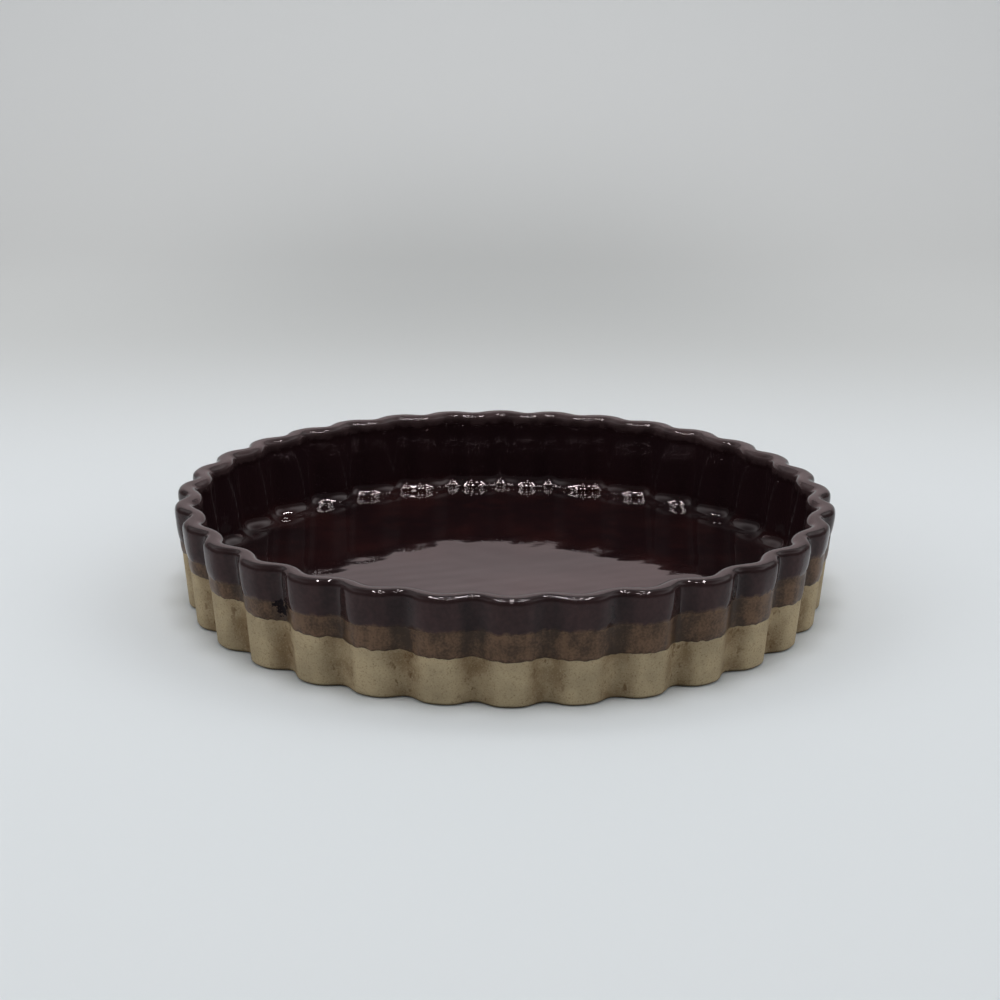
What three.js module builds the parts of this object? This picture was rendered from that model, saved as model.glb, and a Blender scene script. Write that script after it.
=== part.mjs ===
// A round quiche dish in fluted stoneware: one fired clay body under three coats of glaze.
// Millimetres, +Z up. The origin is the middle of the circle that the dish stands on.

import * as THREE from "three";

// Clay body. Diameters are outside ones, midway between a flute's crest and its valley.
const clayHeight = 39;
const rimDiameter = 243.8;
const footDiameter = 237.8;
const wallThickness = 5.2;
const floorThickness = 6;
const cornerRadius = 4.5;
const footRounding = 1.5;
const standingRingWidth = 12;
const baseRecess = 1;
const recessSlope = 2;

// Flutes. Depths are from crest to valley, and the first crest faces -Y. The swell is how far
// a flute's flanks stand out past a plain wave, which broadens the crests outside. Inside it is
// less than nothing, so that the wall is about as thick on the flanks as elsewhere.
const fluteCount = 32;
const rimFluteDepth = 4.2;
const footFluteDepth = 4.6;
const innerFluteDepth = 3.2;
const outerSwell = 0.8;
const innerSwell = -0.5;

// Coats of glaze. Both dips and the lap are counted down from the clay's top.
const bondGap = 0.1;
const linerThickness = 0.5;
const brownThickness = 0.4;
const plumThickness = 0.4;
const brownDip = 20.5;
const plumDip = 12;
const brownStop = 2;
const rimLap = 6;

// Facets
const stepsPerFlute = 6;
const lipSteps = 4;
const cornerSteps = 3;
const footSteps = 2;

// Heights and radii that follow from the sizes above
const lipRadius = wallThickness / 2;
const lipHeight = clayHeight - lipRadius;
const lipMiddle = rimDiameter / 2 - lipRadius;
const cornerTop = floorThickness + cornerRadius;
const cornerMiddle = innerRadius(cornerTop) - cornerRadius;
const lapEnd = clayHeight - rimLap;
const brownLine = clayHeight - brownDip;
const plumLine = clayHeight - plumDip;
const brownTop = lipHeight - brownStop;
const brownFace = bondGap + brownThickness;
const plumBack = brownFace + bondGap;
const plumFace = plumBack + plumThickness;
const linerFace = bondGap + linerThickness;

// The share of the way from foot to lip at height z
function rise(z) {
  return (z - footRounding) / (lipHeight - footRounding);
}

// The clay's outside radius at height z, midway between crest and valley
function outerRadius(z) {
  return THREE.MathUtils.lerp(footDiameter, rimDiameter, rise(z)) / 2;
}

// The clay's inside radius at height z: the wall is as thick all the way up
function innerRadius(z) {
  return outerRadius(z) - wallThickness;
}

// A point of a section, with the depth and the swell that the flutes have there
function point(radius, height, fluteDepth = 0, swell = 0) {
  return { radius, height, fluteDepth, swell };
}

// A point at height z that lies off the clay's outside by a distance
function outside(z, off = 0) {
  const depth = THREE.MathUtils.lerp(footFluteDepth, rimFluteDepth, rise(z));
  return point(outerRadius(z) + off, z, depth, outerSwell);
}

// A point at height z that lies off the clay's inside by a distance
function inside(z, off = 0) {
  return point(innerRadius(z) - off, z, innerFluteDepth, innerSwell);
}

// Points at the glaze lines on the clay's outside, off it by a distance. The clay and the brown
// coat both have them, so that their facets lie flat on each other.
function wallPoints(off = 0) {
  return [brownLine, plumLine, brownTop].map((z) => outside(z, off));
}

// The points of an arc, counted in equal steps from 0 to the full angle
function arc(steps, angle, pointAt) {
  return Array.from({ length: steps + 1 }, (_, step) => pointAt((angle * step) / steps));
}

// The half round over the lip, from the outside to the inside, off the clay by a distance
function lip(off = 0) {
  const radius = lipRadius + off;
  return arc(lipSteps, Math.PI, (turn) => {
    const across = (1 - Math.cos(turn)) / 2;
    const depth = THREE.MathUtils.lerp(rimFluteDepth, innerFluteDepth, across);
    const swell = THREE.MathUtils.lerp(outerSwell, innerSwell, across);
    const height = lipHeight + radius * Math.sin(turn);
    return point(lipMiddle + radius * Math.cos(turn), height, depth, swell);
  });
}

// The hollow corner from the inner wall down to the floor, off the clay by a distance
function corner(off = 0) {
  const radius = cornerRadius - off;
  return arc(cornerSteps, Math.PI / 2, (turn) => {
    const fade = 1 - Math.sin(turn);
    const height = cornerTop - radius * Math.sin(turn);
    const out = cornerMiddle + radius * Math.cos(turn);
    return point(out, height, innerFluteDepth * fade, innerSwell * fade);
  });
}

// The middle of the floor, off the clay by a distance
function floorMiddle(off = 0) {
  return point(0, floorThickness + off);
}

// The rounded lower edge of the outside, from the standing ring up to the wall
function footEdge() {
  const middle = footDiameter / 2 - footRounding;
  return arc(footSteps, Math.PI / 2, (turn) =>
    point(
      middle + footRounding * Math.sin(turn),
      footRounding * (1 - Math.cos(turn)),
      footFluteDepth,
      outerSwell,
    ),
  );
}

// The recessed underside, from its middle out to the inner edge of the standing ring
function underside() {
  const ringInside = footDiameter / 2 - footRounding - standingRingWidth;
  return [
    point(0, baseRecess),
    point(ringInside - recessSlope, baseRecess),
    point(ringInside, 0),
  ];
}

// How far the flutes push a point out at an angle round the dish: half the depth on a crest, as
// far in for a valley, and a second wave between them that broadens the crests by the swell
function flutePush(angle, fluteDepth, swell) {
  const phase = fluteCount * angle;
  return (fluteDepth * Math.cos(phase) + swell * (1 - Math.cos(2 * phase))) / 2;
}

// The triangles between neighbouring copies of a section. Each four-sided facet is split from its
// more deeply fluted end, so that faces which lie on each other are split the same way.
function facets(section, steps) {
  const count = section.length;
  const triangles = [];
  for (let step = 0; step < steps; step += 1) {
    for (let place = 0; place < count - 1; place += 1) {
      const near = step * count + place;
      const far = near + count;
      if (section[place].fluteDepth < section[place + 1].fluteDepth) {
        triangles.push(near, far, near + 1, far, far + 1, near + 1);
      } else {
        triangles.push(near, far, far + 1, near, far + 1, near + 1);
      }
    }
  }
  return triangles;
}

// A section turned about the Z axis, then pushed in and out along its radius by the flutes
function flutedSolid(section) {
  const steps = fluteCount * stepsPerFlute;
  const profile = section.map(({ radius, height }) => new THREE.Vector2(radius, height));
  const geometry = new THREE.LatheGeometry(profile, steps);
  geometry.setIndex(facets(section, steps));
  geometry.rotateX(Math.PI / 2);
  const position = geometry.getAttribute("position");
  for (let vertex = 0; vertex < position.count; vertex += 1) {
    const { radius, fluteDepth, swell } = section[vertex % section.length];
    const angle = Math.atan2(position.getX(vertex), -position.getY(vertex));
    const pushed = radius + flutePush(angle, fluteDepth, swell);
    position.setX(vertex, pushed * Math.sin(angle));
    position.setY(vertex, -pushed * Math.cos(angle));
  }
  geometry.computeVertexNormals();
  return geometry;
}

// A section that closes on itself
function closed(points) {
  return [...points, points[0]];
}

function bodySection() {
  return [...underside(), ...footEdge(), ...wallPoints(), ...lip(), ...corner(), floorMiddle()];
}

function linerSection() {
  const top = lapEnd - bondGap;
  return [
    floorMiddle(bondGap),
    ...corner(bondGap).reverse(),
    inside(top, bondGap),
    inside(top, linerFace),
    ...corner(linerFace),
    floorMiddle(linerFace),
  ];
}

function brownSection() {
  return closed([...wallPoints(brownFace), ...wallPoints(bondGap).reverse()]);
}

function plumSection() {
  const shoulder = brownTop + bondGap;
  return closed([
    outside(plumLine, plumBack),
    outside(plumLine, plumFace),
    ...lip(plumFace),
    inside(lapEnd, plumFace),
    inside(lapEnd, bondGap),
    ...lip(bondGap).reverse(),
    outside(shoulder, bondGap),
    outside(shoulder, plumBack),
  ]);
}

function piece(name, section, color, roughness) {
  const material = new THREE.MeshStandardMaterial({ color, roughness, metalness: 0 });
  const mesh = new THREE.Mesh(flutedSolid(section), material);
  mesh.name = name;
  return mesh;
}

const dish = new THREE.Group();
dish.add(piece("stoneware_body", bodySection(), 0xb5a88b, 0.85));
dish.add(piece("liner_glaze", linerSection(), 0x2a1416, 0.12));
dish.add(piece("brown_glaze", brownSection(), 0x5c4536, 0.35));
dish.add(piece("plum_glaze", plumSection(), 0x382a2b, 0.18));

export default dish;
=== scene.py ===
"""Dresses a fluted stoneware quiche dish: bare clay, a poured liner and two dipped coats of glaze.

The file is laid out as an add-on and is run as a script. Lengths are metres, +Z is up, and the
origin is the middle of the circle that the dish stands on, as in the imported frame. A place on the
dish is an angle round it, counted from -Y towards +X, and a length along the cut edge of the clay.
"""

import math

import bpy
import numpy as np
from mathutils import Matrix, Vector


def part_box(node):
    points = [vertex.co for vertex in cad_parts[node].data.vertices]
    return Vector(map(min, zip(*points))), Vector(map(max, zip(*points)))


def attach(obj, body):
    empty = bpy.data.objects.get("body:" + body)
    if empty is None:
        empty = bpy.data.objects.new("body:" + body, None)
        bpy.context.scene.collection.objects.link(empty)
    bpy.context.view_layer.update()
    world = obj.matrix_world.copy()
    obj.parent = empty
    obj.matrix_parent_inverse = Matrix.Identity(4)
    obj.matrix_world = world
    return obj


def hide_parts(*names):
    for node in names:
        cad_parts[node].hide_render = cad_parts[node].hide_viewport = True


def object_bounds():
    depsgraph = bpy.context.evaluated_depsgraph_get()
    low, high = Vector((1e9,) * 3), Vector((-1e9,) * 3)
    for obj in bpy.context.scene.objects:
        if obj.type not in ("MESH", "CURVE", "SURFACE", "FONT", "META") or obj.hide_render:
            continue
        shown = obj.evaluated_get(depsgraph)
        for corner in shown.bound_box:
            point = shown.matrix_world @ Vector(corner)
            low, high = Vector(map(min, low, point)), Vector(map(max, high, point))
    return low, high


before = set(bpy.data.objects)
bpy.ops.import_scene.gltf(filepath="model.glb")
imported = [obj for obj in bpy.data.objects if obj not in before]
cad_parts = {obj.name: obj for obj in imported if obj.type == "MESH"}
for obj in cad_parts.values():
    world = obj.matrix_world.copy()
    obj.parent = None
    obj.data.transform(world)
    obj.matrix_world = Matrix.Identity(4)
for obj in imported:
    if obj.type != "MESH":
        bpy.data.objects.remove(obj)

bl_info = {
    "name": "Fluted Quiche Dish",
    "version": (1, 0, 0),
    "blender": (4, 5, 0),
    "location": "3D View > Sidebar > Quiche Dish",
    "description": "Builds the clay and the glazes of a fluted quiche dish, and a plain studio",
    "category": "Object",
}

CAD_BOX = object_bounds()
BODY_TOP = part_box("stoneware_body")[1]
BROWN_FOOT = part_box("brown_glaze")[0]
PLUM_FOOT, PLUM_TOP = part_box("plum_glaze")
LINER_FOOT, LINER_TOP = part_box("liner_glaze")

MM = 0.001
TURN = 2 * math.pi
STEPS_PER_FLUTE = 28
RIM_FLUTE_DEPTH = 4.2 * MM
BOND_GAP = 0.1 * MM
LINER_INDEX = 1.5
FLUTE_SEED = 3
OUT_OF_ROUND = 0.002
RIM_WAVE = 0.008
RIM_DIP = 0.028
DISH_MIDDLE = (0, 0, 0.02)


def linear(red, green, blue):
    """A colour given as 0 to 255 on screen, as the linear values that shaders use."""
    screen = np.array([red, green, blue]) / 255
    return tuple(np.where(screen <= 0.04045, screen / 12.92, ((screen + 0.055) / 1.055) ** 2.4))


# Small touches of colour on the clay, the glazes and the paper. The clay's foot colour is painted
# contact shade with some grime, the liner's wall colour is painted light, and the paper's is painted
# shade.
CLAY_SMUDGE = linear(92, 66, 42)
CLAY_GRIT = linear(190, 178, 150)
CLAY_IRON = linear(78, 58, 40)
CLAY_FOOT_SHADE_AND_GRIME = linear(60, 52, 38)
LINER_WALL_PAINTED_LIGHT = linear(35, 22, 25)
LINER_FLECK = linear(16, 9, 12)
DARK_SPLASH = linear(17, 12, 18)
BROWN_FLECK = linear(46, 33, 27)
BROWN_BUBBLE = linear(128, 110, 90)
BROWN_HEM = linear(48, 33, 24)
PLUM_RUN = linear(52, 34, 31)
PLUM_INSIDE = linear(32, 19, 21)
PAPER_SHADE = linear(130, 132, 131)


def length_setting(name, description, default):
    """A length property in metres."""
    return bpy.props.FloatProperty(
        name=name, description=description, default=default, unit="LENGTH", precision=5
    )


def colour_setting(name, description, default):
    """A colour property in linear values."""
    return bpy.props.FloatVectorProperty(
        name=name, description=description, default=default, subtype="COLOR", min=0.0, max=1.0
    )


def angle_setting(name, description, degrees):
    """An angle property, written in degrees and kept in radians."""
    return bpy.props.FloatProperty(
        name=name, description=description, default=math.radians(degrees), subtype="ANGLE"
    )


class DishSizes(bpy.types.PropertyGroup):
    """Sizes of the clay and of the coats of glaze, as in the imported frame.

    The lip's edges are squarer than the frame's half round, and the hollow corner is rounder.
    """

    flute_count: bpy.props.IntProperty(
        name="Flutes", description="How many flutes go round the wall", default=32, min=3
    )
    rim_depth: length_setting("Rim flute depth", "Crest to valley at the lip", RIM_FLUTE_DEPTH)
    foot_depth: length_setting("Foot flute depth", "Crest to valley at the foot", 4.6 * MM)
    inner_depth: length_setting("Inner flute depth", "Crest to valley inside", 3.2 * MM)
    outer_swell: length_setting("Outer swell", "How far the flanks stand out past a wave", 0.8 * MM)
    inner_swell: length_setting("Inner swell", "The same inside, where crests are narrow", -0.5 * MM)
    rim_radius: length_setting(
        "Rim radius", "Outside of the clay at the lip", BODY_TOP.x - RIM_FLUTE_DEPTH / 2
    )
    foot_radius: length_setting("Foot radius", "Outside of the clay at the foot", 118.9 * MM)
    clay_height: length_setting("Clay height", "Top of the clay's lip", BODY_TOP.z)
    wall_thickness: length_setting("Wall", "Thickness of the clay wall", 5.2 * MM)
    outer_squareness: bpy.props.FloatProperty(
        name="Outer squareness", description="Lip's outer edge: 2 is round", default=4.5, min=2.0
    )
    inner_squareness: bpy.props.FloatProperty(
        name="Inner squareness", description="Lip's inner edge: 2 is round", default=3.0, min=2.0
    )
    floor_height: length_setting("Floor", "Top of the clay floor", LINER_FOOT.z - BOND_GAP)
    corner_radius: length_setting("Corner", "Hollow between wall and floor", 6.5 * MM)
    foot_rounding: length_setting("Foot rounding", "Rounding of the lower edge", 1.5 * MM)
    ring_width: length_setting("Standing ring", "Width of the ring it stands on", 12 * MM)
    base_recess: length_setting("Base recess", "Depth of the recess in the base", 1 * MM)
    recess_slope: length_setting("Recess slope", "Width of the recess's sloping edge", 2 * MM)
    brown_line: length_setting("Brown line", "Height of the brown dip's edge", BROWN_FOOT.z)
    plum_line: length_setting("Plum line", "Height of the plum dip's edge", PLUM_FOOT.z)
    rim_lap_end: length_setting("Rim lap", "Where the plum dip ends inside", LINER_TOP.z)
    liner_face: length_setting("Liner face", "Liner glaze surface off the clay's wall", 0.5 * MM)
    brown_face: length_setting("Brown face", "Brown glaze surface off the clay", 0.5 * MM)
    plum_face: length_setting(
        "Plum face", "Plum glaze surface off the clay", PLUM_TOP.z - BODY_TOP.z
    )


class DishColours(bpy.types.PropertyGroup):
    """Colours of the clay and of the glazes."""

    clay: colour_setting("Clay", "Bare buff stoneware", linear(172, 155, 125))
    # Iron stain colour, which also paints shade into the flute valleys
    clay_stain_and_shade: colour_setting("Clay stain", "Iron stain in the valleys", linear(122, 100, 73))
    oxblood: colour_setting("Oxblood", "Liner glaze where it is thick", linear(25, 13, 15))
    oxblood_thin: colour_setting("Thin oxblood", "Liner glaze where it is thin", linear(40, 19, 19))
    brown: colour_setting("Brown", "First dip on the outside", linear(107, 82, 63))
    brown_dark: colour_setting("Dark brown", "Mottling of the first dip", linear(54, 40, 31))
    plum: colour_setting("Plum", "Second dip over the rim", linear(60, 42, 42))
    plum_dark: colour_setting("Dark plum", "Second dip where it pools", linear(26, 16, 16))
    lip: colour_setting("Lip", "Second dip over the lip", linear(40, 28, 29))
    mauve: colour_setting("Mauve", "Second dip on the lip's inner edge", linear(66, 51, 52))


class StageLook(bpy.types.PropertyGroup):
    """The pale sweep, its light and the camera's place."""

    floor_colour: colour_setting("Floor", "Pale floor under the dish", linear(228, 232, 235))
    # Painted shade in the bend of the sweep
    bend_shade_colour: colour_setting("Bend", "Where the floor bends up", linear(207, 209, 209))
    wall_colour: colour_setting("Wall", "Pale wall behind the dish", linear(218, 220, 221))
    upper_colour: colour_setting("Upper wall", "Rosy wall above the view", linear(238, 220, 221))
    lens: bpy.props.FloatProperty(
        name="Lens", description="Focal length", default=62.97, subtype="DISTANCE_CAMERA"
    )
    camera_distance: length_setting("Distance", "Camera to the dish's axis, level", 0.643)
    camera_height: length_setting("Height", "Camera above the floor", 0.2278)
    camera_aside: length_setting("Aside", "Camera to the right of the axis", -0.00198)
    camera_turn: angle_setting("Turn", "Camera's place round the dish, from -Y", -0.91)
    camera_pitch: angle_setting("Pitch", "How far the camera looks down", 16.743)
    camera_roll: angle_setting("Roll", "How far the camera leans to the left", 0.49)


class ClaySection:
    """The cut edge of the clay: a path from the middle of the underside to the middle of the floor.

    It runs out along the recess and the standing ring, round the foot, up the wall, over the lip,
    down the inner wall, round the corner and in along the floor. Each stretch is a straight line
    or an arc. Every sample has the length so far, radius, height, flute depth and swell, and the
    outward normal.
    """

    STRETCHES = ("recess", "slope", "ring", "foot", "wall", "lip", "inner_wall", "corner", "floor")
    SAMPLES = 65

    def __init__(self, sizes):
        self.sizes = sizes
        self.lip_radius = sizes.wall_thickness / 2
        self.lip_height = sizes.clay_height - self.lip_radius
        self.corner_top = sizes.floor_height + sizes.corner_radius
        parts = [getattr(self, "make_" + name)() for name in self.STRETCHES]
        radius, height, depth, swell = (np.concatenate(values) for values in zip(*parts))
        pace = np.hypot(np.diff(radius), np.diff(height))
        kept = np.concatenate([[True], pace > 1e-9])
        length = np.concatenate([[0.0], np.cumsum(pace)])
        starts = length[:: self.SAMPLES]
        self.start = dict(zip(self.STRETCHES, starts))
        self.length, self.radius = length[kept], radius[kept]
        self.height, self.depth, self.swell = height[kept], depth[kept], swell[kept]
        out, up = np.gradient(self.radius, self.length), np.gradient(self.height, self.length)
        size = np.hypot(out, up)
        self.normal_out, self.normal_up = up / size, -out / size

    def outer_radius(self, height):
        """Radius of the outside at a height: a straight flare from foot to lip."""
        rise = (height - self.sizes.foot_rounding) / (self.lip_height - self.sizes.foot_rounding)
        return self.sizes.foot_radius + (self.sizes.rim_radius - self.sizes.foot_radius) * rise

    def line(self, start, end):
        """Even samples of a straight stretch between ends of radius, height, depth and swell."""
        return tuple(np.linspace(a, b, self.SAMPLES) for a, b in zip(start, end))

    def level(self, value):
        """The same value for every sample of a stretch."""
        return np.full(self.SAMPLES, value)

    def make_recess(self):
        """The recess in the base, level from its middle out."""
        recess = self.sizes.base_recess
        edge = self.ring_inside() - self.sizes.recess_slope
        return self.line((0, recess, 0, 0), (edge, recess, 0, 0))

    def make_slope(self):
        """The sloping edge of the recess: half a wave of a cosine."""
        inside = self.ring_inside()
        radius = np.linspace(inside - self.sizes.recess_slope, inside, self.SAMPLES)
        turn = np.linspace(0, math.pi, self.SAMPLES)
        height = self.sizes.base_recess * (1 + np.cos(turn)) / 2
        return radius, height, self.level(0), self.level(0)

    def make_ring(self):
        """The flat standing ring, over which the flutes grow to their full depth."""
        sizes = self.sizes
        outer = (sizes.foot_radius - sizes.foot_rounding, 0, sizes.foot_depth, sizes.outer_swell)
        return self.line((self.ring_inside(), 0, 0, 0), outer)

    def make_foot(self):
        """The rounded lower edge: a quarter circle."""
        sizes = self.sizes
        turn = np.linspace(0, math.pi / 2, self.SAMPLES)
        radius = sizes.foot_radius - sizes.foot_rounding * (1 - np.sin(turn))
        height = sizes.foot_rounding * (1 - np.cos(turn))
        return radius, height, self.level(sizes.foot_depth), self.level(sizes.outer_swell)

    def make_wall(self):
        """The outer wall, straight from foot to lip."""
        sizes = self.sizes
        foot = (sizes.foot_radius, sizes.foot_rounding, sizes.foot_depth, sizes.outer_swell)
        top = (sizes.rim_radius, self.lip_height, sizes.rim_depth, sizes.outer_swell)
        return self.line(foot, top)

    def make_lip(self):
        """The lip: a superellipse each side, which turns tighter at the edges than a circle."""
        sizes = self.sizes
        turn = np.linspace(0, math.pi, self.SAMPLES)
        squareness = np.where(turn < math.pi / 2, sizes.outer_squareness, sizes.inner_squareness)
        power = 2 / squareness
        across = (1 - np.sign(np.cos(turn)) * np.abs(np.cos(turn)) ** power) / 2
        radius = sizes.rim_radius - sizes.wall_thickness * across
        height = self.lip_height + self.lip_radius * np.abs(np.sin(turn)) ** power
        depth = sizes.rim_depth + (sizes.inner_depth - sizes.rim_depth) * across
        swell = sizes.outer_swell + (sizes.inner_swell - sizes.outer_swell) * across
        return radius, height, depth, swell

    def make_inner_wall(self):
        """The inner wall, straight from the lip down to the corner."""
        thick, flutes = self.sizes.wall_thickness, (self.sizes.inner_depth, self.sizes.inner_swell)
        foot = self.outer_radius(self.corner_top) - thick
        top = (self.sizes.rim_radius - thick, self.lip_height, *flutes)
        return self.line(top, (foot, self.corner_top, *flutes))

    def make_corner(self):
        """The hollow corner: a quarter circle, fluted as deeply as the wall."""
        turn = np.linspace(0, math.pi / 2, self.SAMPLES)
        radius = self.corner_middle() + self.sizes.corner_radius * np.cos(turn)
        height = self.corner_top - self.sizes.corner_radius * np.sin(turn)
        depth, swell = self.level(self.sizes.inner_depth), self.level(self.sizes.inner_swell)
        return radius, height, depth, swell

    def make_floor(self):
        """The level floor, where the flutes die away as the tenth power of the radius."""
        share = np.linspace(1, 0, self.SAMPLES)
        fade = share**10
        radius, height = self.corner_middle() * share, self.level(self.sizes.floor_height)
        return radius, height, self.sizes.inner_depth * fade, self.sizes.inner_swell * fade

    def ring_inside(self):
        """Inner radius of the standing ring."""
        return self.sizes.foot_radius - self.sizes.foot_rounding - self.sizes.ring_width

    def corner_middle(self):
        """Radius of the middle of the corner's arc."""
        wall = self.outer_radius(self.corner_top) - self.sizes.wall_thickness
        return wall - self.sizes.corner_radius

    def at(self, values, length):
        """One of the path's values, interpolated at lengths along it."""
        return np.interp(length, self.length, values)

    def on_wall(self, height):
        """Length along the path of a height on the outside."""
        low, high = self.sizes.foot_rounding, self.lip_height
        share = (height - low) / (high - low)
        return self.start["wall"] + share * (self.start["lip"] - self.start["wall"])

    def on_inner_wall(self, height):
        """Length along the path of a height on the inside."""
        share = (self.lip_height - height) / (self.lip_height - self.corner_top)
        return self.start["inner_wall"] + share * (self.start["corner"] - self.start["inner_wall"])


def round_angles(sizes):
    """Even angles round the dish, as a column, several to each flute."""
    count = sizes.flute_count * STEPS_PER_FLUTE
    return (np.arange(count) * TURN / count)[:, None]


def crest_share(angle, count):
    """1 on a flute's crest and 0 in its valley, as a cosine of the angle times the count."""
    return (1 + np.cos(count * angle)) / 2


def flute_push(angle, depth, swell, count):
    """How far flutes push the wall out: a wave of the depth, and one half as long of the swell."""
    wave = depth * (crest_share(angle, count) - 0.5)
    return wave + swell * (1 - crest_share(angle, 2 * count))


def hand_push(angle, count):
    """How far each crest stands back, and each valley lies off its depth, in a hand-trimmed wall."""
    random = np.random.default_rng(FLUTE_SEED)
    stand_back = random.uniform(-0.35, 0.0, count) * MM
    uneven = random.uniform(-0.5, 0.5, count) * MM
    crest = np.round(angle * count / TURN).astype(int) % count
    valley = np.floor(angle * count / TURN).astype(int) % count
    share = crest_share(angle, count)
    return stand_back[crest] * share**2 + uneven[valley] * (1 - share) ** 2


def waver(angle, lobes, seed):
    """A slow wave round the dish between 0 and 1: a mean of sines, one for each count of lobes."""
    phases = np.random.default_rng(seed).uniform(0, TURN, len(lobes))
    waves = [np.sin(lobe * angle + phase) for lobe, phase in zip(lobes, phases)]
    return 0.5 + 0.5 * sum(waves) / len(lobes)


def ease(share):
    """A smooth step from 0 to 1 as the share goes from 0 to 1, level at both ends."""
    share = np.clip(share, 0, 1)
    return share**2 * (3 - 2 * share)


def front_dip(angle):
    """1 round the front of the dish and 0 from its sides back, as an eased cosine of the angle."""
    start, reach = 0.1, 0.65
    return ease((np.cos(angle) - start) / reach)


def ripple(across, along, spacing, seed, count=24):
    """Uneven ripples between about -1 and 1: a sum of plane waves in seeded directions."""
    random = np.random.default_rng(seed)
    heading = random.uniform(0, TURN, count)
    wave_length = spacing * random.uniform(0.6, 1.8, count)
    phase = random.uniform(0, TURN, count)
    total = np.zeros(np.broadcast(across, along).shape)
    for turn, wave, start in zip(heading, wave_length, phase):
        total += np.sin((across * np.cos(turn) + along * np.sin(turn)) * TURN / wave + start)
    return total / math.sqrt(2 * count)


def fluted_points(section, angle, length, lift):
    """Points of a fluted surface, for angles round the dish and lengths along the clay's edge.

    Radius and height are the edge's, moved out along its normal by the lift. The flutes then push
    the radius out, both shrink by a hair where the hand-finished wall is out of true, and the
    rim dips at the front. The middle of the floor stays level.
    """
    sizes = section.sizes
    depth, swell = section.at(section.depth, length), section.at(section.swell, length)
    out = section.at(section.radius, length) + lift * section.at(section.normal_out, length)
    radius = out + flute_push(angle, depth, swell, sizes.flute_count)
    radius = radius + hand_push(angle, sizes.flute_count) * depth / sizes.foot_depth
    height = section.at(section.height, length) + lift * section.at(section.normal_up, length)
    radius = radius * (1 - OUT_OF_ROUND * waver(angle, lobes=(2, 3, 5), seed=11))
    sink = RIM_WAVE * waver(angle, lobes=(2, 3, 4), seed=23) + RIM_DIP * front_dip(angle)
    height = height * (1 - sink * ease(out / sizes.foot_radius))
    x, y, z = np.broadcast_arrays(radius * np.sin(angle), -radius * np.cos(angle), height)
    return np.stack([x, y, z], axis=-1)


def grid_faces(turns, places, closed):
    """Corner numbers of the four-sided faces of a grid that joins up round the dish."""
    around = np.arange(turns)[:, None]
    beside = (around + 1) % turns
    along = np.arange(places if closed else places - 1)[None, :]
    ahead = (along + 1) % places
    corners = [around * places + along, beside * places + along]
    corners += [beside * places + ahead, around * places + ahead]
    return np.stack(np.broadcast_arrays(*corners), axis=-1).reshape(-1, 4)


def fan_faces(turns, places, place, pole, flip):
    """Corner numbers of the three-sided faces that close one end of a grid to a pole."""
    around = np.arange(turns) * places + place
    beside = np.roll(around, -1)
    first, second = (beside, around) if flip else (around, beside)
    return np.stack([first, second, np.full(turns, pole)], axis=-1)


def surface_piece(name, points, marks, poles=None):
    """A smooth mesh object from a grid of points, angle by place, with one value a point in marks.

    Without poles the grid also joins up along its places. With poles, two heights on the axis,
    its first and last places are closed to those.
    """
    turns, places = points.shape[:2]
    corners = points.reshape(-1, 3)
    faces = grid_faces(turns, places, poles is None).tolist()
    if poles is not None:
        first, last = len(corners), len(corners) + 1
        corners = np.concatenate([corners, [(0, 0, poles[0]), (0, 0, poles[1])]])
        faces += fan_faces(turns, places, 0, first, True).tolist()
        faces += fan_faces(turns, places, places - 1, last, False).tolist()
    mesh = bpy.data.meshes.new(name)
    mesh.from_pydata(corners.tolist(), [], faces)
    for mark, values in marks.items():
        spread = np.broadcast_to(values, (turns, places)).ravel()
        padded = np.concatenate([spread, np.zeros(len(corners) - spread.size)])
        mesh.attributes.new(mark, "FLOAT", "POINT").data.foreach_set("value", padded)
    mesh.shade_smooth()
    piece = bpy.data.objects.new(name, mesh)
    bpy.context.scene.collection.objects.link(piece)
    return piece


def seat(piece, node, finish):
    """The piece stands for a node of the frame, rides with the dish and takes its finish."""
    piece.data.materials.append(finish)
    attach(piece, "root")
    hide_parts(node)


def glaze_line(angle, base, lean, sag, seed):
    """Height of a dip's edge: its mean, a lean to one side, a sag front and back, and a wavy hem."""
    across, along = np.sin(angle) * CAD_BOX[1].x, np.cos(angle) * CAD_BOX[1].x
    wavy = 0.2 * MM * ripple(across, along, spacing=12 * MM, seed=seed)
    ragged = 0.32 * MM * ripple(across, along, spacing=3 * MM, seed=seed)
    return base + lean * np.sin(angle) - sag * np.cos(2 * angle) + wavy + ragged


def coat_points(section, angle, start, end, face, places, rise, drop, reach):
    """Points of a thin closed coat between two lengths along the clay's edge.

    The outer skin rises from just under the clay to the face's lift, as one minus a falling
    exponential of the distance from its start over the rise. Towards its end it falls again by
    the drop, as a smooth step over the reach. The inner skin runs back inside the clay.
    """
    share = np.linspace(0, 1, places)[None, :]
    length = start + (end - start) * share
    sunk = 0.12 * MM
    lift = (face + sunk) * (1 - np.exp((start - length) / rise)) - sunk
    lift = lift - drop * (1 - ease((end - length) / reach))
    outer = fluted_points(section, angle, length, lift)
    back = np.linspace(1, 0, places // 4 + 2)[None, 1:-1]
    inner = fluted_points(section, angle, start + (end - start) * back, -2 * sunk)
    points = np.concatenate([outer, inner], axis=1)
    unseen = np.zeros(inner.shape[:2])
    hem = np.concatenate([length - start, unseen], axis=1)
    lap = np.concatenate([end - length, unseen], axis=1)
    crest = np.broadcast_to(crest_share(angle, section.sizes.flute_count), hem.shape)
    return points, {"crest": crest, "hem": hem, "lap": lap}


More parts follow.
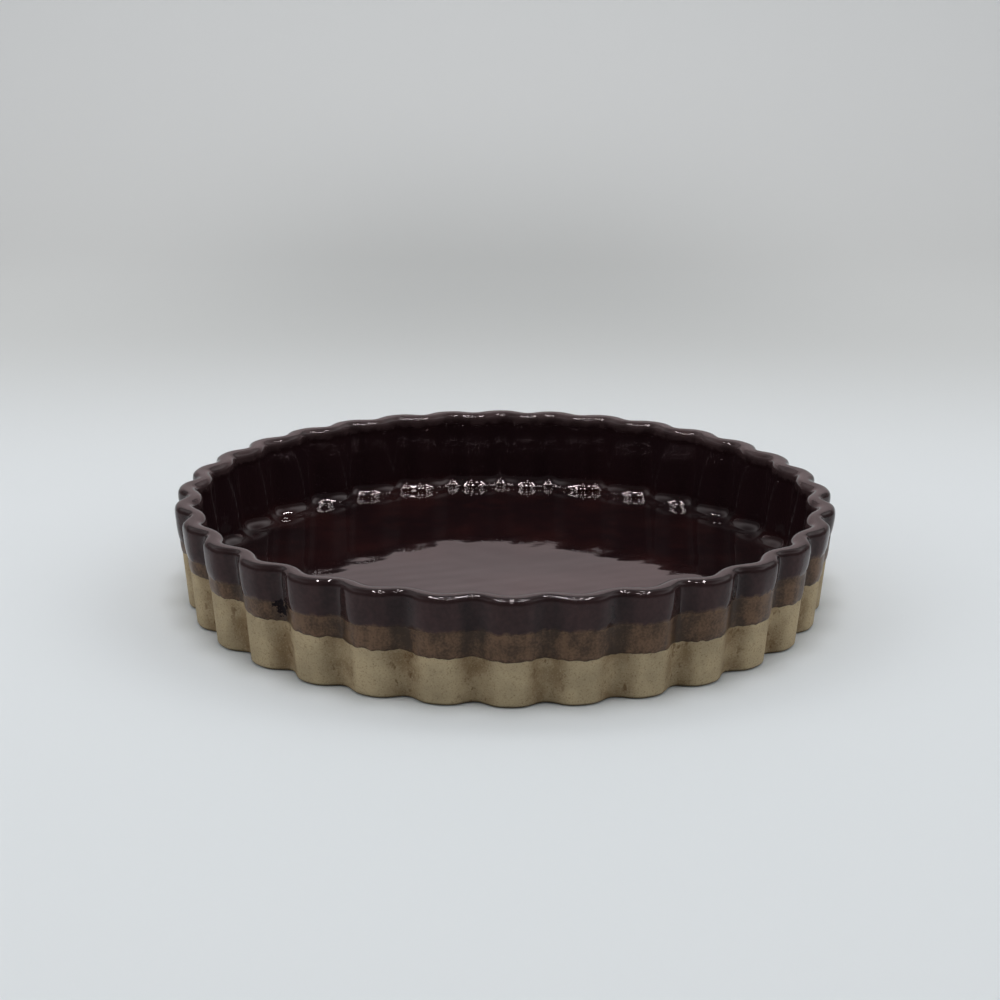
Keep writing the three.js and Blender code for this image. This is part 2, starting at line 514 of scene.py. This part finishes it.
class NodeTree:
    """The nodes of a material or of the world, which are added one by one."""

    def __init__(self, owner):
        owner.use_nodes = True
        self.nodes = owner.node_tree.nodes
        self.links = owner.node_tree.links

    def put(self, socket, value):
        """Joins an output to a socket, or sets the socket's own value."""
        if isinstance(value, bpy.types.NodeSocket):
            self.links.new(value, socket)
        elif socket.type == "RGBA":
            socket.default_value = (*value, 1.0)
        else:
            socket.default_value = value

    def between(self, value, low, high, out_low=0.0, out_high=1.0):
        """Eases a value from one range to another, and holds it at the ends."""
        node = self.nodes.new("ShaderNodeMapRange")
        node.interpolation_type = "SMOOTHSTEP"
        limits = {"Value": value, "From Min": low, "From Max": high}
        limits.update({"To Min": out_low, "To Max": out_high})
        for name, number in limits.items():
            self.put(node.inputs[name], number)
        return node.outputs["Result"]


class Finish(NodeTree):
    """A material that is made on the piece's own coordinates."""

    def __init__(self, name):
        self.material = bpy.data.materials.new(name)
        super().__init__(self.material)
        self.shader = self.nodes["Principled BSDF"]
        self.place = self.nodes.new("ShaderNodeTexCoord").outputs["Object"]

    def noise(self, scale, detail=3.0, stretch=None):
        """A soft noise from 0 to 1, with its pattern stretched along the axes if asked."""
        node = self.nodes.new("ShaderNodeTexNoise")
        node.inputs["Scale"].default_value = scale
        node.inputs["Detail"].default_value = detail
        node.inputs["Roughness"].default_value = 0.55
        place = self.place
        if stretch is not None:
            mapping = self.nodes.new("ShaderNodeMapping")
            mapping.inputs["Scale"].default_value = stretch
            self.links.new(self.place, mapping.inputs["Vector"])
            place = mapping.outputs["Vector"]
        self.links.new(place, node.inputs["Vector"])
        return node.outputs["Fac"]

    def specks(self, scale):
        """Distance from scattered points, in cells of the given scale."""
        node = self.nodes.new("ShaderNodeTexVoronoi")
        node.inputs["Scale"].default_value = scale
        self.links.new(self.place, node.inputs["Vector"])
        return node.outputs["Distance"]

    def mark(self, name):
        """A value stored on the piece's points."""
        node = self.nodes.new("ShaderNodeAttribute")
        node.attribute_name = name
        return node.outputs["Fac"]

    def combine(self, operation, first, second=0.0):
        """One arithmetic step on one or two values."""
        node = self.nodes.new("ShaderNodeMath")
        node.operation = operation
        self.put(node.inputs[0], first)
        self.put(node.inputs[1], second)
        return node.outputs["Value"]

    def blend(self, share, first, second):
        """A mix of two colours."""
        node = self.nodes.new("ShaderNodeMix")
        node.data_type = "RGBA"
        factor, colour_a, colour_b = node.inputs[0], node.inputs[6], node.inputs[7]
        for socket, value in ((factor, share), (colour_a, first), (colour_b, second)):
            self.put(socket, value)
        return node.outputs[2]

    def near(self, point, fray, scale):
        """Distance from a point on the piece, frayed by a noise."""
        node = self.nodes.new("ShaderNodeVectorMath")
        node.operation = "DISTANCE"
        self.links.new(self.place, node.inputs[0])
        node.inputs[1].default_value = point
        frayed = self.between(self.noise(scale, detail=2.0), 0.3, 0.7, -fray, fray)
        return self.combine("ADD", node.outputs["Value"], frayed)

    def weigh(self, *pairs):
        """The sum of values, each times its weight."""
        total = 0.0
        for value, weight in pairs:
            total = self.combine("ADD", total, self.combine("MULTIPLY", value, weight))
        return total

    def axis(self, name):
        """One of the piece's own coordinates."""
        node = self.nodes.new("ShaderNodeSeparateXYZ")
        self.links.new(self.place, node.inputs["Vector"])
        return node.outputs[name]

    def gloss(self, index, tint):
        """Sets how strongly the surface shines, and the tint of its shine."""
        self.put(self.shader.inputs["IOR"], index)
        self.put(self.shader.inputs["Specular Tint"], tint)

    def colour(self, value):
        """Sets the surface's colour."""
        self.put(self.shader.inputs["Base Color"], value)

    def roughness(self, value):
        """Sets how dull the surface is, from 0 to 1."""
        self.put(self.shader.inputs["Roughness"], value)

    def bump(self, height, depth, strength=1.0, under=None):
        """Adds a bump of a real depth over an earlier one."""
        node = self.nodes.new("ShaderNodeBump")
        node.inputs["Strength"].default_value = strength
        node.inputs["Distance"].default_value = depth
        self.links.new(height, node.inputs["Height"])
        if under is not None:
            self.links.new(under, node.inputs["Normal"])
        self.links.new(node.outputs["Normal"], self.shader.inputs["Normal"])
        return node.outputs["Normal"]


def clay_finish(colours):
    """Bare buff stoneware: clouded and grainy, browner and smudged in the valleys with stain and
    painted shade, and darker at the foot with painted contact shade and some grime.
    """
    finish = Finish("bare_stoneware")
    finish.put(finish.shader.inputs["Specular IOR Level"], 0.15)
    clay, stain_and_shade = tuple(colours.clay), tuple(colours.clay_stain_and_shade)
    pale = tuple(min(1.0, 1.14 * c) for c in clay)
    dull = tuple(0.84 * c for c in clay)
    colour = finish.blend(finish.between(finish.noise(75, detail=4.0), 0.3, 0.7), dull, pale)
    # Painted shade: the valleys darken towards the stain colour, partly real iron stain and partly the
    # shade of the flutes
    valley = finish.between(finish.mark("crest"), 0.8, 0.05)
    patch = finish.between(finish.noise(95, detail=4.0), 0.36, 0.66, 0.25, 0.9)
    colour = finish.blend(finish.combine("MULTIPLY", valley, patch), colour, stain_and_shade)
    smudge = finish.between(finish.noise(330, detail=5.0, stretch=(1, 1, 0.7)), 0.56, 0.68)
    share = finish.combine("MULTIPLY", smudge, finish.combine("MULTIPLY", valley, 0.75))
    colour = finish.blend(share, colour, CLAY_SMUDGE)
    grain = finish.noise(1700, detail=2.0)
    colour = finish.blend(finish.between(grain, 0.46, 0.3, 0.0, 0.55), colour, stain_and_shade)
    colour = finish.blend(finish.between(grain, 0.54, 0.7, 0.0, 0.22), colour, CLAY_GRIT)
    iron = finish.between(finish.specks(420), 0.14, 0.06)
    colour = finish.blend(finish.combine("MULTIPLY", iron, 0.4), colour, CLAY_IRON)
    # Painted contact shade, with some grime, darkens the lowest 1.4 mm of the foot
    foot = finish.between(finish.axis("Z"), 1.4 * MM, 0.2 * MM, 0.0, 0.9)
    finish.colour(finish.blend(foot, colour, CLAY_FOOT_SHADE_AND_GRIME))
    finish.roughness(finish.between(finish.noise(300), 0.3, 0.7, 0.72, 0.92))
    finish.bump(finish.noise(900, detail=4.0), 0.14 * MM)
    return finish.material


def oxblood_finish(colours):
    """The liner: a deep gloss, nearly black where it pools and red-brown where it is thin, with painted
    light on the inner wall to lift its shade.
    """
    finish = Finish("oxblood_liner")
    finish.gloss(LINER_INDEX, (1.0, 0.86, 0.88))
    thin = finish.between(finish.noise(28), 0.42, 0.72)
    run = finish.between(finish.noise(120, detail=2.0, stretch=(1, 1, 0.15)), 0.45, 0.75)
    share = finish.combine("MAXIMUM", thin, finish.combine("MULTIPLY", run, 0.5))
    colour = finish.blend(share, colours.oxblood, colours.oxblood_thin)
    # Painted light: the inner wall is made lighter to lift the shade it lies in
    wall = finish.between(finish.axis("Z"), 8 * MM, 16 * MM, 0.0, 0.8)
    colour = finish.blend(wall, colour, LINER_WALL_PAINTED_LIGHT)
    fleck = finish.between(finish.specks(160), 0.07, 0.03)
    finish.colour(finish.blend(finish.combine("MULTIPLY", fleck, 0.5), colour, LINER_FLECK))
    finish.roughness(finish.between(finish.noise(60), 0.3, 0.7, 0.02, 0.05))
    peel = finish.bump(finish.noise(140, detail=2.0), 0.05 * MM, strength=0.4)
    finish.bump(finish.noise(520), 0.004 * MM, strength=0.6, under=peel)
    return finish.material


def splash(finish, colour, sizes, section):
    """Adds the dull dark star-shaped splash of glaze on one flute at the front left."""
    angle = np.array([[math.radians(-39.7)]])
    length = np.array([[section.on_wall(25.2 * MM)]])
    spot = fluted_points(section, angle, length, sizes.plum_face)[0, 0]
    apart = finish.near(spot, fray=1.9 * MM, scale=620)
    dark = finish.between(apart, 2.9 * MM, 2.3 * MM)
    shine = finish.shader.inputs["Specular IOR Level"]
    finish.put(shine, finish.between(dark, 0.0, 1.0, shine.default_value, 0.1))
    return finish.blend(finish.combine("MULTIPLY", dark, 0.95), colour, DARK_SPLASH)


def brown_pattern(finish, colours):
    """The first dip's colour: mottled, with runs and grain, and darker in the valleys."""
    mottle = finish.between(finish.noise(210, detail=4.0), 0.32, 0.68)
    runs = finish.between(finish.noise(230, stretch=(1, 1, 0.2)), 0.36, 0.66)
    grain = finish.between(finish.noise(1200, detail=2.0), 0.3, 0.7)
    valley = finish.between(finish.mark("crest"), 0.45, 0.0)
    share = finish.weigh((mottle, 0.35), (runs, 0.3), (grain, 0.35), (valley, -0.42))
    share = finish.between(share, -0.1, 0.95)
    colour = finish.blend(share, colours.brown_dark, colours.brown)
    fleck = finish.between(finish.specks(520), 0.2, 0.1)
    colour = finish.blend(finish.combine("MULTIPLY", fleck, 0.45), colour, BROWN_FLECK)
    bubble = finish.between(finish.specks(640), 0.12, 0.05)
    return finish.blend(finish.combine("MULTIPLY", bubble, 0.3), colour, BROWN_BUBBLE)


def brown_finish(colours, sizes, section):
    """The first dip: a satin brown, mottled, with a ragged darker hem."""
    finish = Finish("brown_dip")
    finish.gloss(1.33, (1.0, 0.9, 0.82))
    frayed = finish.between(finish.noise(700), 0.3, 0.7, -0.5 * MM, 0.5 * MM)
    hem = finish.combine("ADD", finish.mark("hem"), frayed)
    colour = brown_pattern(finish, colours)
    colour = finish.blend(finish.between(hem, 1.3 * MM, 0.4 * MM, 0.0, 0.6), colour, BROWN_HEM)
    finish.colour(splash(finish, colour, sizes, section))
    finish.roughness(finish.between(finish.noise(220), 0.3, 0.7, 0.28, 0.44))
    finish.bump(finish.noise(420), 0.05 * MM, strength=0.6)
    return finish.material


def plum_finish(colours, sizes, section):
    """The second dip: a gloss plum brown that thins to brown at its hem, and meets the liner inside."""
    finish = Finish("plum_dip")
    inside = finish.between(finish.mark("lap"), 9 * MM, 1 * MM)
    over_lip = finish.between(finish.mark("lap"), 12 * MM, 9.5 * MM)
    shine = finish.between(over_lip, 0.0, 1.0, 1.3, 1.34)
    finish.gloss(finish.between(inside, 0.0, 1.0, shine, LINER_INDEX), (1.0, 0.88, 0.9))
    pool = finish.between(finish.mark("crest"), 0.5, 0.05)
    cloud = finish.between(finish.noise(95, stretch=(1, 1, 0.5)), 0.36, 0.66)
    grain = finish.between(finish.noise(700), 0.3, 0.7)
    share = finish.weigh((pool, 0.45), (cloud, 0.35), (grain, 0.25))
    colour = finish.blend(share, colours.plum, colours.plum_dark)
    runs = finish.between(finish.noise(260, stretch=(1, 1, 0.15)), 0.5, 0.75)
    colour = finish.blend(finish.combine("MULTIPLY", runs, 0.3), colour, PLUM_RUN)
    frayed = finish.between(finish.noise(260, detail=4.0), 0.3, 0.7, -0.6 * MM, 0.6 * MM)
    thin = finish.between(finish.combine("ADD", finish.mark("hem"), frayed), 2.8 * MM, 0.5 * MM)
    colour = finish.blend(thin, colour, brown_pattern(finish, colours))
    colour = finish.blend(over_lip, colour, colours.lip)
    edge = finish.between(finish.mark("lap"), 8.5 * MM, 6.5 * MM)
    patchy = finish.between(finish.noise(130), 0.35, 0.6, 0.35, 1.0)
    colour = finish.blend(finish.combine("MULTIPLY", edge, patchy), colour, colours.mauve)
    lapped = finish.between(finish.combine("ADD", finish.mark("lap"), frayed), 4.2 * MM, 2 * MM)
    colour = finish.blend(lapped, colour, PLUM_INSIDE)
    finish.colour(splash(finish, colour, sizes, section))
    sheen = finish.between(finish.noise(160), 0.3, 0.7, 0.03, 0.07)
    finish.roughness(finish.weigh((sheen, 1.0), (thin, 0.2)))
    finish.bump(finish.noise(300), 0.04 * MM, strength=0.5)
    return finish.material


class DISH_OT_throw_body(bpy.types.Operator):
    """Builds the clay body, from its recessed base over the lip to the floor"""

    bl_idname = "dish.throw_body"
    bl_label = "Throw Clay Body"

    def execute(self, context):
        sizes = context.scene.dish_sizes
        section = ClaySection(sizes)
        counts = {"recess": 10, "slope": 8, "ring": 4, "foot": 10, "wall": 26}
        counts.update({"lip": 12, "inner_wall": 4, "corner": 6, "floor": 4})
        edges = [*section.start.values(), section.length[-1]]
        spans = zip(edges[:-1], edges[1:], counts.values())
        length = np.concatenate([np.linspace(a, b, n, endpoint=False) for a, b, n in spans])[None, 1:]
        angle = round_angles(sizes)
        points = fluted_points(section, angle, length, np.zeros_like(length))
        marks = {"crest": crest_share(angle, sizes.flute_count)}
        poles = (sizes.base_recess, sizes.floor_height)
        piece = surface_piece("clay_body", points, marks, poles)
        seat(piece, "stoneware_body", clay_finish(context.scene.dish_colours))
        return {"FINISHED"}


def liner_lift(section, angle, length, top):
    """How far the liner's surface lies off the clay.

    It is the liner's face on the wall, where it runs on from the rim's coat, and more on the
    floor, where the glaze pools. A raised cosine of the radius sinks the middle of the floor,
    and ripples fade in below the top and fade out at the very middle.
    """
    radius = section.at(section.radius, length)
    x, y = radius * np.sin(angle), -radius * np.cos(angle)
    pool_depth, pool_reach = 0.7 * MM, 8 * MM
    pooled = np.clip((length - section.start["corner"]) / pool_reach, 0, 1) * pool_depth
    hollow_depth, hollow_radius = 1 * MM, 60 * MM
    hollow = (1 + np.cos(np.clip(radius / hollow_radius, 0, 1) * math.pi)) / 2 * hollow_depth
    fade_in, fade_out = 30 * MM, 15 * MM
    fade = ease((length - top) / fade_in) * ease(radius / fade_out)
    waves = 0
    for spacing, size, seed in ((60, 0.06, 37), (22, 0.035, 31), (11, 0.02, 53)):
        waves = waves + ripple(x, y, spacing * MM, seed) * size * MM
    return section.sizes.liner_face + pooled - hollow + waves * fade


class DISH_OT_pour_liner(bpy.types.Operator):
    """Builds the glossy liner glaze over the floor, the corner and the inner wall"""

    bl_idname = "dish.pour_liner"
    bl_label = "Pour Liner Glaze"

    def execute(self, context):
        sizes = context.scene.dish_sizes
        section = ClaySection(sizes)
        angle = round_angles(sizes)
        under_plum, counts = 3 * MM, (16, 20, 60)
        top = section.on_inner_wall(sizes.rim_lap_end + under_plum)
        edges = (top, section.start["corner"], section.start["floor"], section.length[-1])
        spans = zip(edges[:-1], edges[1:], counts)
        length = np.concatenate([np.linspace(a, b, n, endpoint=False) for a, b, n in spans])[None, :]
        outer = fluted_points(section, angle, length, liner_lift(section, angle, length, top))
        back, sunk = length[:, ::-10], 0.2 * MM
        inner = fluted_points(section, angle, back, np.full_like(back, -sunk))
        points = np.concatenate([inner, outer], axis=1)
        poles = (sizes.floor_height - sunk, outer[:, -1, 2].mean())
        piece = surface_piece("liner_coat", points, {}, poles)
        seat(piece, "liner_glaze", oxblood_finish(context.scene.dish_colours))
        return {"FINISHED"}


class DISH_OT_dip_brown(bpy.types.Operator):
    """Builds the brown first dip on the outside, up under the plum one"""

    bl_idname = "dish.dip_brown"
    bl_label = "Dip Brown Glaze"

    def execute(self, context):
        sizes = context.scene.dish_sizes
        section = ClaySection(sizes)
        angle = round_angles(sizes)
        base = sizes.brown_line + 0.2 * MM
        line = glaze_line(angle, base, lean=-1.3 * MM, sag=1.9 * MM, seed=41)
        start = section.on_wall(line)
        end = section.on_wall(section.lip_height - 1 * MM)
        face = sizes.brown_face - BOND_GAP
        points, marks = coat_points(
            section, angle, start, end, face, places=40, rise=1.1 * MM, drop=face, reach=2 * MM
        )
        piece = surface_piece("brown_coat", points, marks)
        finish = brown_finish(context.scene.dish_colours, sizes, section)
        seat(piece, "brown_glaze", finish)
        return {"FINISHED"}


class DISH_OT_dip_plum(bpy.types.Operator):
    """Builds the plum second dip, from its line over the lip to just inside"""

    bl_idname = "dish.dip_plum"
    bl_label = "Dip Plum Glaze"

    def execute(self, context):
        sizes = context.scene.dish_sizes
        section = ClaySection(sizes)
        angle = round_angles(sizes)
        base = sizes.plum_line - 0.6 * MM
        line = glaze_line(angle, base, lean=1.5 * MM, sag=0.5 * MM, seed=43)
        start = section.on_wall(line)
        end = section.on_inner_wall(sizes.rim_lap_end) + np.zeros_like(angle)
        face = sizes.plum_face
        drop = face - sizes.liner_face + 0.01 * MM
        points, marks = coat_points(
            section, angle, start, end, face, places=88, rise=2.2 * MM, drop=drop, reach=12 * MM
        )
        piece = surface_piece("plum_coat", points, marks)
        finish = plum_finish(context.scene.dish_colours, sizes, section)
        seat(piece, "plum_glaze", finish)
        return {"FINISHED"}


def paper_finish(look):
    """Matte paper: pale on the floor, with painted shade in the bend and most in its middle, paler on
    the wall.
    """
    finish = Finish("pale_paper")
    finish.roughness(0.9)
    finish.put(finish.shader.inputs["Specular IOR Level"], 0.0)
    depth = finish.axis("Y")
    # Painted shade: the floor darkens towards the bend colour where it curves up
    far = finish.between(depth, 0.07, 0.52)
    colour = finish.blend(far, look.floor_colour, look.bend_shade_colour)
    colour = finish.blend(finish.between(depth, 0.8, 1.3), colour, look.wall_colour)
    # Painted shade: a soft oval, darkest in the middle of the bend
    across = finish.between(finish.combine("ABSOLUTE", finish.axis("X")), 0.36, 0.04)
    off_middle = finish.combine("ABSOLUTE", finish.combine("SUBTRACT", depth, 0.71))
    along = finish.between(off_middle, 0.5, 0.05)
    shade = finish.combine("MULTIPLY", finish.combine("MULTIPLY", across, along), 0.26)
    colour = finish.blend(shade, colour, PAPER_SHADE)
    above = finish.between(finish.axis("Z"), 0.24, 0.36)
    finish.colour(finish.blend(above, colour, look.upper_colour))
    return finish.material


def sweep(look):
    """A pale sweep: a level floor that curves up, as a quarter circle, into a wall behind."""
    front, back, half, bend, top = -3.0, 1.5, 3.0, 0.7, 0.85
    turn = np.linspace(0, math.pi / 2, 40)
    level = np.linspace(front, back - bend, 60)
    y = np.concatenate([level, back - bend + bend * np.sin(turn[1:]), [back]])
    z = np.concatenate([np.zeros_like(level), bend * (1 - np.cos(turn[1:])), [top]])
    x = np.linspace(-half, half, 3)
    points = np.stack(np.broadcast_arrays(x[:, None], y[None, :], z[None, :]), axis=-1)
    count = len(y)
    faces = grid_faces(len(x), count, False).reshape(len(x), count - 1, 4)[:-1]
    mesh = bpy.data.meshes.new("pale_sweep")
    mesh.from_pydata(points.reshape(-1, 3).tolist(), [], faces.reshape(-1, 4).tolist())
    mesh.shade_smooth()
    floor = bpy.data.objects.new("pale_sweep", mesh)
    bpy.context.scene.collection.objects.link(floor)
    mesh.materials.append(paper_finish(look))


def lamp(name, place, target, size, watts):
    """A flat lamp that faces a target and isn't seen itself."""
    light = bpy.data.lights.new(name, "AREA")
    light.shape = "RECTANGLE"
    light.size, light.size_y = size
    light.energy = watts
    body = bpy.data.objects.new(name, light)
    body.matrix_world = Matrix.Translation(place) @ (
        (Vector(target) - Vector(place)).to_track_quat("-Z", "Y").to_matrix().to_4x4()
    )
    body.visible_camera = False
    bpy.context.scene.collection.objects.link(body)
    return body


def point_lamps():
    """A frame of small lamps overhead and one high in front, for the glints on the glazes."""
    lamps = [lamp("front_high", (0.01, -0.6, 0.7), DISH_MIDDLE, size=(0.04, 0.04), watts=0.5)]
    middle, half_wide, half_deep, height = (0.012, -0.04), 0.16, 0.16, 0.6
    shares = np.linspace(-1, 1, 5)
    places = [(share * half_wide, side * half_deep) for side in (-1, 1) for share in shares]
    places += [(side * half_wide, share * half_deep) for side in (-1, 1) for share in shares[1:-1]]
    for number, (x, y) in enumerate(places):
        place = (middle[0] + x, middle[1] + y, height)
        below = (*place[:2], 0)
        lamps.append(lamp(f"frame_{number}", place, below, size=(0.022, 0.022), watts=0.34))
    for body in lamps:
        body.visible_diffuse = False


def soft_lamps():
    """Wide lamps for the wall, over the dish and round its front, that no glaze mirrors."""
    lamps = [lamp("wall_wash", (0, 0.7, 1.6), (0, 1.5, 0.35), size=(2.4, 1.0), watts=10.8)]
    lamps.append(lamp("overhead", (0, -0.15, 1.6), (0, -0.15, 0), size=(0.6, 0.6), watts=8.6))
    distance, height = 1.3, 0.55
    for degrees, watts in ((-70, 3.3), (0, 0.45), (70, 2.5)):
        turn = math.radians(degrees)
        place = (distance * math.sin(turn), -distance * math.cos(turn), height)
        lamps.append(lamp(f"fill_{degrees}", place, DISH_MIDDLE, size=(1.2, 0.7), watts=watts))
    for body in lamps:
        body.visible_glossy = False


def studio_world():
    """Light from high on both sides, more on the right, and little from above, behind or in front."""
    world = bpy.data.worlds.new("studio")
    bpy.context.scene.world = world
    tree = NodeTree(world)
    heading = tree.nodes.new("ShaderNodeSeparateXYZ")
    place = tree.nodes.new("ShaderNodeTexCoord").outputs["Generated"]
    tree.put(heading.inputs["Vector"], place)
    x, y, z = (heading.outputs[name] for name in "XYZ")
    sides = tree.between(x, -0.8, 0.8, 0.85, 1.3)
    sides = tree.between(z, 0.38, 0.62, 0.15, sides)
    level = tree.between(y, -0.7, -0.15, 0.1, sides)
    level = tree.between(y, 0.35, 0.9, level, 0.25)
    level = tree.between(z, 0.6, 0.92, level, 0.16)
    sky = tree.nodes["Background"]
    tree.put(sky.inputs["Strength"], level)
    tree.put(sky.inputs["Color"], (0.97, 1.0, 1.0))


def photo_camera(look):
    """The camera at the photograph's height, distance and tilt."""
    data = bpy.data.cameras.new("camera")
    data.lens = look.lens
    data.sensor_width = 36
    camera = bpy.data.objects.new("camera", data)
    turn = Matrix.Rotation(look.camera_turn, 4, "Z")
    place = Matrix.Translation((look.camera_aside, -look.camera_distance, look.camera_height))
    tilt = Matrix.Rotation(math.pi / 2 - look.camera_pitch, 4, "X")
    camera.matrix_world = turn @ place @ tilt @ Matrix.Rotation(look.camera_roll, 4, "Z")
    bpy.context.scene.collection.objects.link(camera)
    bpy.context.scene.camera = camera


class DISH_OT_set_stage(bpy.types.Operator):
    """Builds the pale sweep, the lamps, the world and the camera"""

    bl_idname = "dish.set_stage"
    bl_label = "Set Stage"

    def execute(self, context):
        look = context.scene.dish_stage
        sweep(look)
        point_lamps()
        soft_lamps()
        studio_world()
        photo_camera(look)
        context.scene.view_settings.view_transform = "Standard"
        return {"FINISHED"}


class DISH_PT_sidebar(bpy.types.Panel):
    """Lists the dish's settings and the steps that build it"""

    bl_idname = "DISH_PT_sidebar"
    bl_label = "Quiche Dish"
    bl_space_type = "VIEW_3D"
    bl_region_type = "UI"
    bl_category = "Quiche Dish"

    def draw(self, context):
        for group in (context.scene.dish_sizes, context.scene.dish_colours, context.scene.dish_stage):
            box = self.layout.box()
            for name in group.__annotations__:
                box.prop(group, name)
        for step in STEPS:
            self.layout.operator(step.bl_idname)


GROUPS = {"dish_sizes": DishSizes, "dish_colours": DishColours, "dish_stage": StageLook}
STEPS = (
    DISH_OT_throw_body,
    DISH_OT_pour_liner,
    DISH_OT_dip_brown,
    DISH_OT_dip_plum,
    DISH_OT_set_stage,
)


def register():
    for name, group in GROUPS.items():
        bpy.utils.register_class(group)
        setattr(bpy.types.Scene, name, bpy.props.PointerProperty(type=group))
    for part in (*STEPS, DISH_PT_sidebar):
        bpy.utils.register_class(part)


def unregister():
    for part in (DISH_PT_sidebar, *reversed(STEPS)):
        bpy.utils.unregister_class(part)
    for name, group in GROUPS.items():
        delattr(bpy.types.Scene, name)
        bpy.utils.unregister_class(group)


def main():
    register()
    bpy.ops.dish.set_stage()
    bpy.ops.dish.throw_body()
    bpy.ops.dish.pour_liner()
    bpy.ops.dish.dip_brown()
    bpy.ops.dish.dip_plum()


if __name__ == "__main__":
    main()
